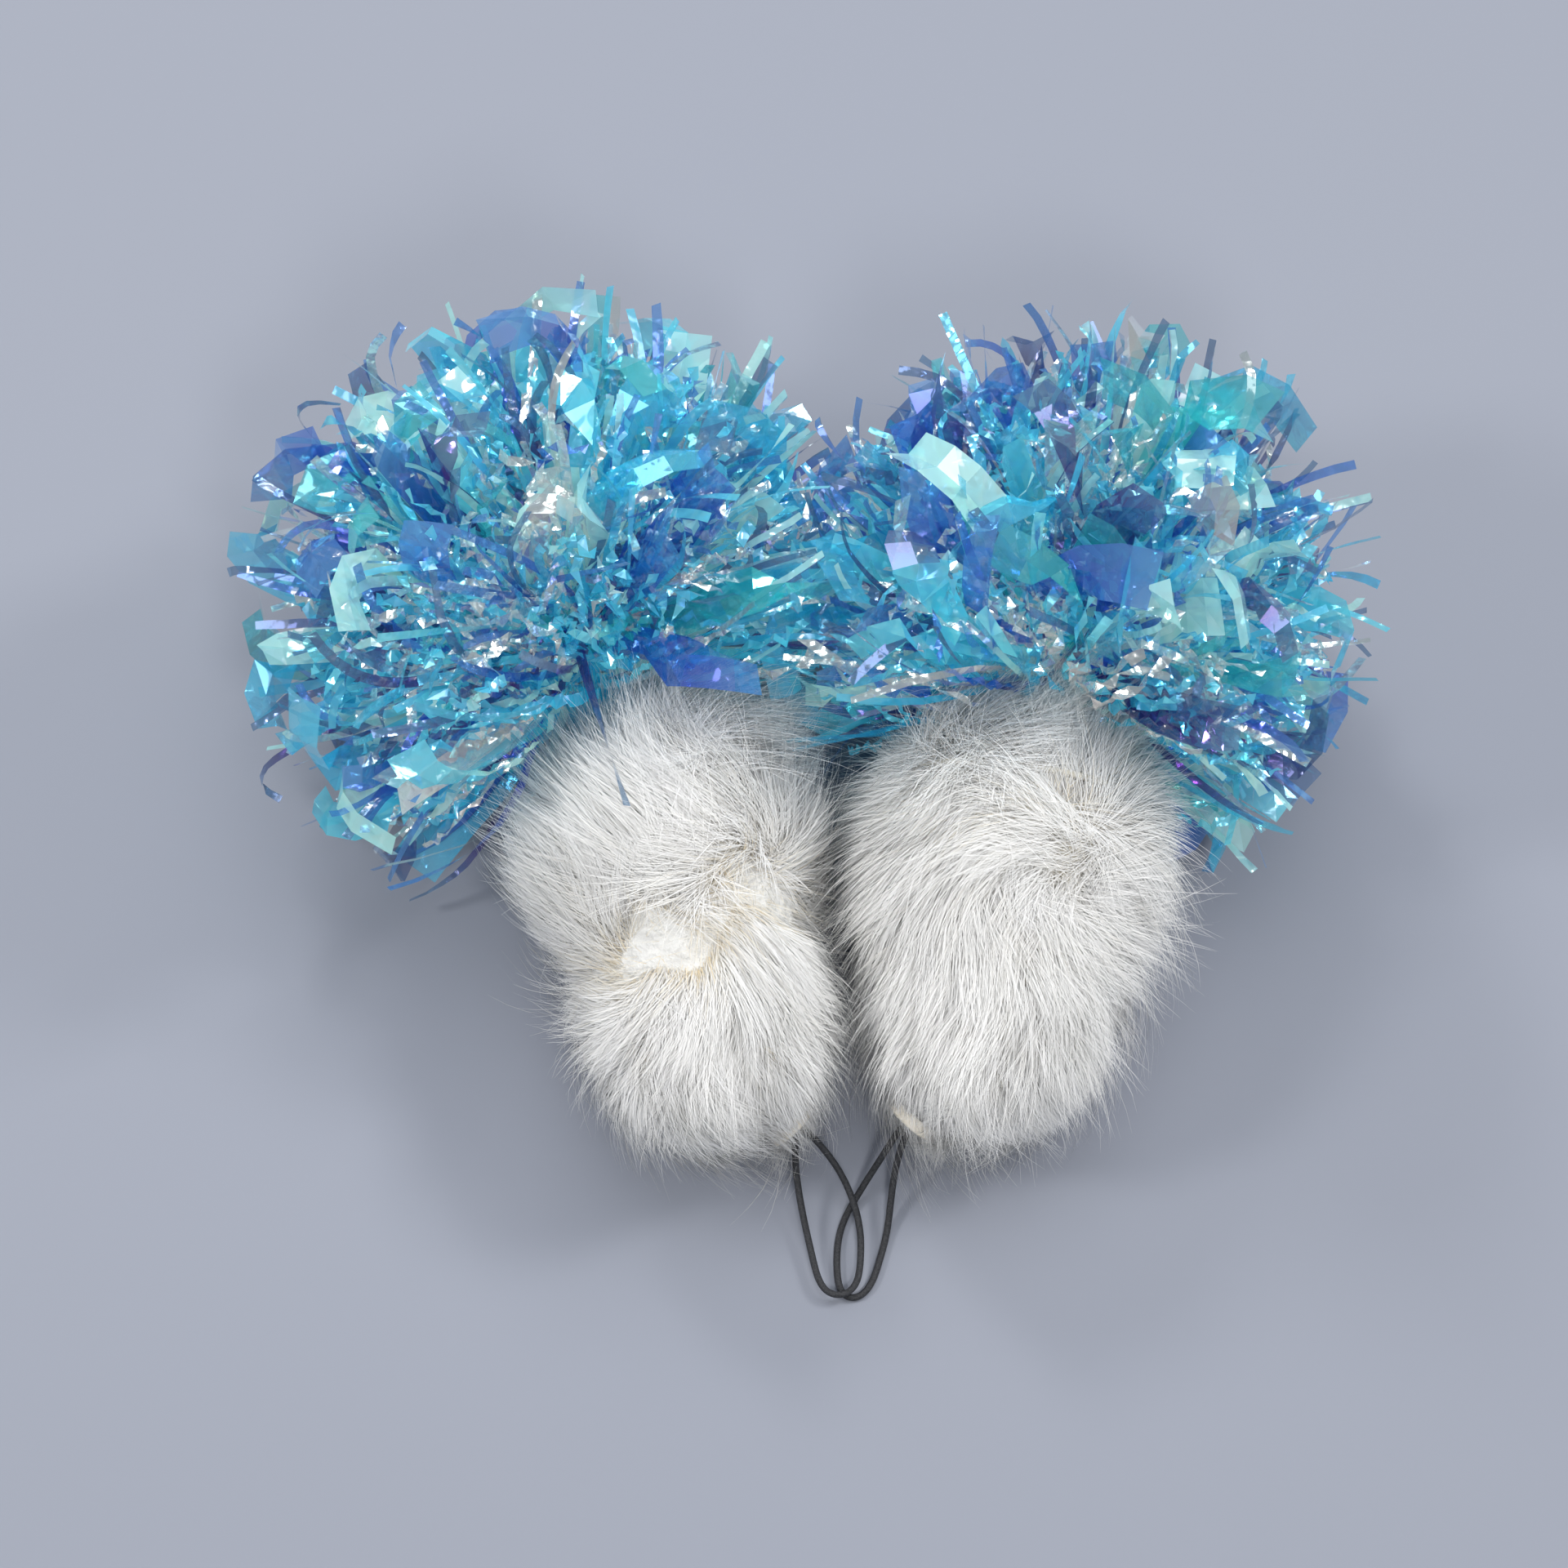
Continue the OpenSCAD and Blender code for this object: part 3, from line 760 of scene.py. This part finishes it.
# %% A piece of fine strands
def fine_strands(name, side, count, reach, seed, steps, width, crinkle, curl, tints, smooth):
    """
    Narrow strands. Each is a curve from the root to its tip, pushed sideways by curl, with a random
    zigzag of size crinkle at each step that grows from nothing at the root, and a random twist.
    """
    rng = np.random.default_rng(seed)
    tip = burst_tips(side, count, *reach, rng)
    n, start = len(tip), spring(side, tip, rng)
    push = rng.normal(size=(2, n, 3)) * curl * MM + np.array([0, 0, 3 * MM])
    leave = start + (tip - start) * 0.35 + push[0] * 0.4
    arrive = start + (tip - start) * 0.7 + push[1]
    path = bezier(start, leave, arrive, tip, steps)
    along = unit(np.gradient(path, axis=1))
    one, two = square_to(along, rng)
    t = np.linspace(0, 1, steps)[None, :]
    zig = rng.normal(size=(n, steps, 2)) * crinkle * MM * np.minimum(1, 3 * t)[..., None]
    path = above_floor(path + zig[..., :1] * one + zig[..., 1:] * two, 0.5 * MM)
    roll = rng.uniform(0, 2 * np.pi, (n, 1)) + rng.normal(size=(n, 1)) * 2.5 * t
    roll = roll + rng.normal(size=(n, steps)) * (0.05 if smooth else 1.0)
    across = np.cos(roll)[..., None] * one + np.sin(roll)[..., None] * two
    half_width = rng.uniform(*width, (n, 1)) / 2 * MM * np.ones((1, steps))
    tint = np.clip(rng.choice(tints, n) + rng.uniform(-0.03, 0.03, n), 0, 0.999)
    piece = ribbon_piece(name, path, across, half_width, tint, f"{side}_head", fine_finish, smooth)
    return piece


# %% Grow the fine strands
MOSTLY_AQUA = [0.05, 0.1, 0.25, 0.3, 0.35, 0.45, 0.55, 0.6, 0.68, 0.76, 0.83, 0.91, 0.93, 0.95, 0.96]
MORE_BLUE = [0.1, 0.3, 0.6, 0.68, 0.70, 0.76, 0.77, 0.84, 0.93]
for number, side in enumerate(SIDES):
    for part, seed in (("a", 41), ("b", 45)):
        shred = fine_strands(f"{side}_crinkled_strands_{part}", side, 1300, (34, 64), seed + number, 28,
                             (1.3, 2.8), 0.6, 12, MOSTLY_AQUA, False)
        if part == "a":
            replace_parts(shred, f"{side}_fine_tinsel")
    fine_strands(f"{side}_straight_strands", side, 480, (56, 77), 51 + number, 20, (1.3, 2.4), 0.08, 12,
                 MORE_BLUE, True)


# %% [markdown]
# ## One loose strand
# A long strand has slipped out of the left burst and lies over the fur. It is made as the others
# are, but along a route through listed points, because it is seen on its own.

# %% Lay the loose strand over the left sleeve
SLIPPED_ROUTE = [(-46, 12, 37), (-52, 14, 58), (-53, 4, 69), (-48, -16, 75), (-41, -39, 75)]


def loose_strand(name, side, points, steps=34):
    """One long strand along a route in millimetres, turning by most of a full turn on the way."""
    path = smooth_route(np.array(points) * MM, steps // (len(points) - 1))[None]
    along = unit(np.gradient(path, axis=1))
    one = unit(np.cross(along, [0, 0, 1]))
    roll = np.linspace(0, 5.5, path.shape[1])[None, :, None]
    across = np.cos(roll) * one + np.sin(roll) * np.cross(along, one)
    piece = ribbon_piece(name, path, across, np.full(path.shape[:2], 1.1 * MM), np.array([0.76]),
                         f"{side}_head", fine_finish)
    return piece


loose_strand("left_loose_strand", "left", SLIPPED_ROUTE)

# %% [markdown]
# ## The wide strips
# Between the fine strands stand strips about five times as wide, with square ends. Many lie over
# along the ball, so a large flat faces outward. A grid of points three across and nine along is
# enough for the crease, the curl and the crumple that keep a strip from looking like card.

# %% Shape the wide strips
def wide_strips(name, side, count, seed, steps=9, columns=3):
    """
    Wide strips. Each runs out from the root, and its end lies over along the ball by a random
    amount. A crease down the middle, a curl across, and a small crumple keep it from being flat.
    """
    rng = np.random.default_rng(seed)
    tip = burst_tips(side, count, 56, 72, rng)
    n, start = len(tip), spring(side, tip, rng)
    radial = unit(tip - BURST[side])
    lie = unit(np.cross(radial, rng.normal(size=(n, 3)))) * rng.choice([0, 4, 18, 26, 34], (n, 1)) * MM
    upright = (np.linalg.norm(lie, axis=-1) < 8 * MM)[:, None]
    elbow = tip - lie + radial * 5 * MM - upright * radial * 14 * MM
    path = bezier(start, start + (elbow - start) * 0.5, elbow, tip, steps)
    along = unit(np.gradient(path, axis=1))
    roll = rng.normal(size=(n, 1)) * 0.5 + rng.normal(size=(n, 1)) * 0.4 * np.linspace(0, 1, steps)
    one = unit(np.cross(along, radial[:, None] + 0.3 * rng.normal(size=(n, 1, 3))))
    two = np.cross(along, one)
    across = np.cos(roll)[..., None] * one + np.sin(roll)[..., None] * two
    normal = np.cross(across, along)
    t, x = np.linspace(0, 1, steps)[None, :, None], np.linspace(-1, 1, columns)[None, None, :]
    half_width = rng.uniform(3.8, 6.6, (n, 1, 1)) * MM * (0.25 + 0.75 * np.clip(2.2 * t, 0, 1))
    fold = rng.normal(size=(n, 1, 1)) * 0.45 * np.abs(x)
    crumple = rng.normal(size=(n, steps, columns)) * 0.15 * MM
    points = path[:, :, None] + (half_width * x)[..., None] * across[:, :, None]
    points = points + (half_width * fold + crumple)[..., None] * normal[:, :, None]
    points = above_floor(points, 0.4 * MM)
    cell = np.arange(n)[:, None, None] * steps * columns + np.arange(steps - 1)[:, None] * columns
    cell = cell + np.arange(columns - 1)
    faces = np.stack([cell, cell + 1, cell + columns + 1, cell + columns], -1).reshape(-1, 4)
    column = rng.permutation(n) % COLUMNS
    at = np.empty((n, steps, columns, 2), np.float32)
    at[..., 0] = (column[:, None, None] + 0.5 + 0.4 * x) / COLUMNS
    at[..., 1] = 0.01 + 0.98 * t
    corners = at.reshape(-1, 2)[faces.ravel()]
    piece = mesh_piece(name, points.reshape(-1, 3), faces, f"{side}_head", wide_finish, corners, False)
    print(f"{name}: {n} strips, {2 * len(faces)} triangles")
    return piece


for number, side in enumerate(SIDES):
    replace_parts(wide_strips(f"{side}_wide_film", side, 135, 61 + number), f"{side}_wide_strips")

# %% [markdown]
# ## Small parts
# The CAD parts that stay are mostly hidden: threads, patch, washer, wire and filling. Their shapes
# are right as they are, so they could be left alone, but each gets its real finish, because a joint
# can open a view of it. One noise gives most of them both their colour and their grain.

# %% Finishes for the CAD parts
THREAD_COLOURS = [(0.3, (0.62, 0.58, 0.48)), (0.7, (0.85, 0.82, 0.74))]
SUEDE_COLOURS = [(0.3, (0.72, 0.66, 0.56)), (0.7, (0.88, 0.84, 0.76))]
WASHER_COLOURS = [(0.3, (0.04, 0.04, 0.045)), (0.7, (0.08, 0.08, 0.085))]
WIRE_COLOURS = [(0.3, (0.55, 0.56, 0.58)), (0.7, (0.80, 0.81, 0.83))]
FILLING_COLOURS = [(0.3, (0.78, 0.78, 0.77)), (0.7, (0.95, 0.95, 0.94))]
# The ice white stop of the gathered film is partly a painted reflection of the white softbox.
FILM_COLOURS = [(0.3, AQUA), (0.55, SKY), (0.8, ICE_AND_PAINTED_REFLECTION)]
thread_finish = grained_finish("waxed_thread", 1500, 2, THREAD_COLOURS, 0.0002, roughness=0.7)
suede_finish = grained_finish("suede", 900, 4, SUEDE_COLOURS, 0.0002, roughness=0.9)
washer_finish = grained_finish("moulded_washer", 1200, 2, WASHER_COLOURS, 0.00005, roughness=0.45)
filling_finish = grained_finish("fibre_filling", 350, 5, FILLING_COLOURS, 0.0015, roughness=1.0)
gathered_finish = grained_finish("gathered_film", 500, 3, FILM_COLOURS, 0.0006, roughness=0.2, metallic=0.3)

wire_finish = Finish("soft_wire", metallic=1.0, roughness=0.35)
drawn = wire_finish.noise(wire_finish.here(), 1400, 3)
wire_finish.feed("Base Color", wire_finish.ramp(drawn, WIRE_COLOURS))
wire_finish.feed("Roughness", 0.25 + 0.3 * drawn)

# %% Give the CAD parts their finishes
CAD_FINISHES = {
    "mouth_thread": thread_finish, "patch_thread": thread_finish, "neck_binding": thread_finish,
    "end_patch": suede_finish, "stay_washer": washer_finish, "elastic_tie": elastic_finish,
    "wire_stem": wire_finish, "binding_wire": wire_finish, "stuffing": filling_finish,
    "tinsel_root": gathered_finish,
}
for side in SIDES:
    for part, finish in CAD_FINISHES.items():
        mesh = frame["nodes"][f"{side}_{part}"].data
        mesh.materials.clear()
        mesh.materials.append(finish.material)
print("finished", 2 * len(CAD_FINISHES), "CAD parts")
